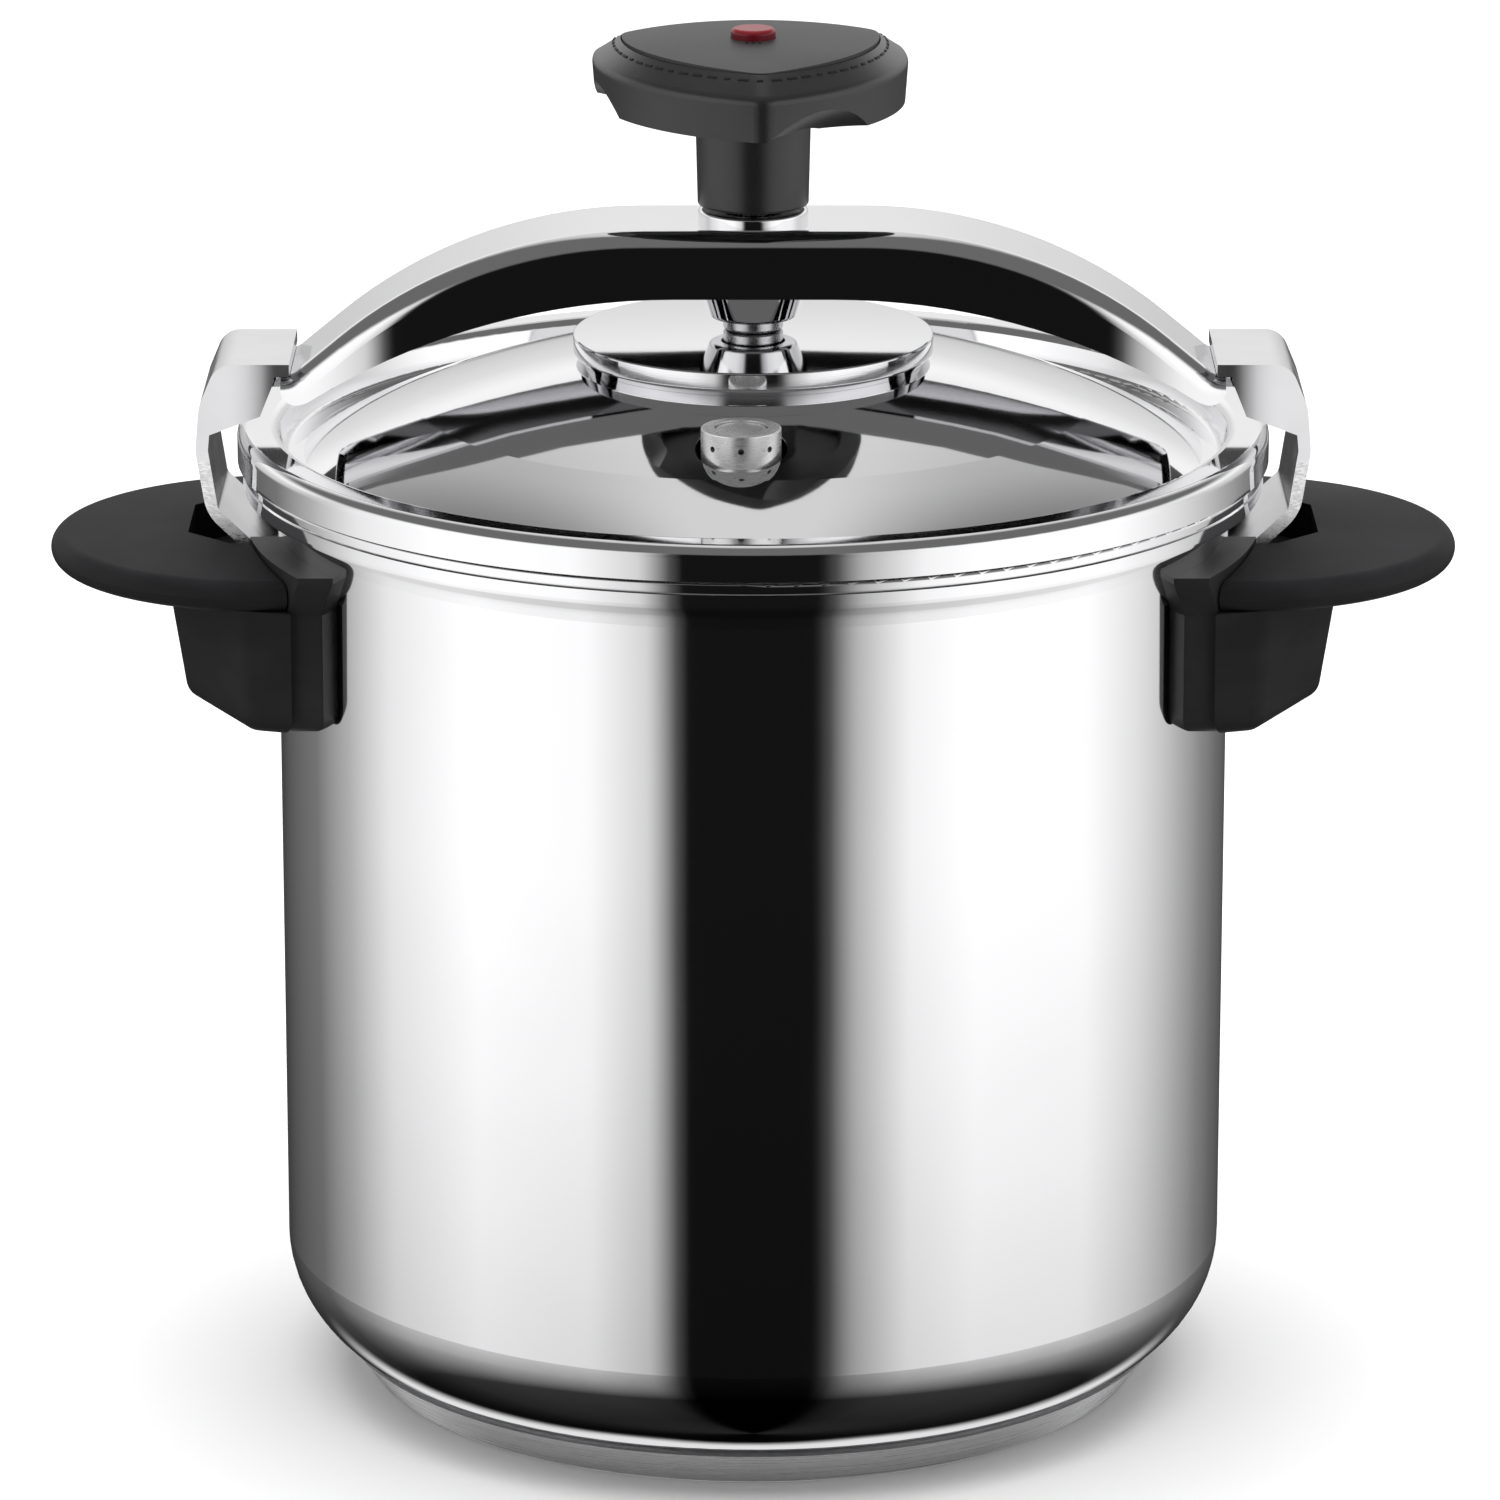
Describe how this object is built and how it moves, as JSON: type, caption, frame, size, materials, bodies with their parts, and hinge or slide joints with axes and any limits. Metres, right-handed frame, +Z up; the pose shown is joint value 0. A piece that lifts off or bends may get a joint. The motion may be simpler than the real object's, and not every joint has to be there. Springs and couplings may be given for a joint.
{
  "type": "pressure canner",
  "caption": "Tall stainless steel stovetop pressure cooker with an arched bridge, hook brackets, a screw knob, a domed lid with a safety valve, and black handles.",
  "frame": {"origin": "centre of the flat underside of the base", "axes": "+Z up, +X along the bridge towards the right-hand hook, -Y towards the side with the valve and the closed flanges of the hooks"},
  "size_m": [0.3576, 0.2616, 0.3504],
  "materials": {
    "polished_steel": "mirror polished stainless steel",
    "base_steel": "satin stainless steel",
    "hook_steel": "polished pressed stainless steel with sheared edges",
    "plate_steel": "polished, with a ground edge",
    "nut_chrome": "chromed",
    "aluminium_core": "rolled",
    "black_moulding": "satin moulded phenolic",
    "spacer_moulding": "satin moulded phenolic",
    "cover_moulding": "satin, slightly glossier than the knob",
    "red_moulding": "gloss",
    "rubber_seal": "grey silicone",
    "valve_steel": "fine turned",
    "spring_steel": "drawn wire",
    "screw_steel": "machined"
  },
  "bodies": {
    "pot": {"pot_body": "polished_steel", "base_cap": "base_steel", "base_core": "aluminium_core", "bracket_left": "hook_steel", "bracket_right": "hook_steel", "spacer_left": "spacer_moulding", "spacer_right": "spacer_moulding", "grip_left": "black_moulding", "grip_right": "black_moulding", "grip_studs": "screw_steel", "grip_screws": "screw_steel"},
    "lid": {"lid_shell": "polished_steel", "gasket": "rubber_seal", "pressure_plate": "plate_steel", "valve_body": "valve_steel", "valve_seat_ring": "rubber_seal", "valve_seal": "rubber_seal", "valve_nut": "valve_steel", "valve_guard": "valve_steel", "valve_spring": "spring_steel"},
    "valve": {"valve_plunger": "valve_steel"},
    "bridge": {"bridge_arch": "polished_steel", "bridge_nut": "nut_chrome", "bridge_nut_ring": "nut_chrome"},
    "screw_foot": {"thrust_foot": "screw_steel"},
    "screw": {"spindle": "screw_steel", "knob": "black_moulding", "knob_insert": "screw_steel", "knob_screw": "screw_steel", "knob_cover": "cover_moulding", "knob_cap": "red_moulding"}
  },
  "joints": [
    {"name": "lid_turn", "type": "hinge", "parent": "pot", "child": "lid", "pos_m": [0, 0, 0.25], "axis": [0, 0, 1], "continuous": true},
    {"name": "valve_lift", "type": "slide", "parent": "lid", "child": "valve", "axis": [0, 0, 1], "range_m": [0, 0.0015], "stiffness_N_per_m": 1000, "springref_m": -0.003, "deforming": ["valve_spring"]},
    {"name": "bridge_slide", "type": "slide", "parent": "pot", "child": "bridge", "axis": [0, 1, 0], "range_m": [0, 0.06]},
    {"name": "screw_travel", "type": "slide", "parent": "bridge", "child": "screw_foot", "axis": [0, 0, 1], "range_m": [0, 0.0046]},
    {"name": "knob_turn", "type": "hinge", "parent": "screw_foot", "child": "screw", "pos_m": [0, 0, 0.32], "axis": [0, 0, 1], "range_deg": [0, 540]}
  ],
  "couplings": [
    {"joint": "screw_travel", "follows": "knob_turn", "m_per_rad": 0.00047746}
  ]
}
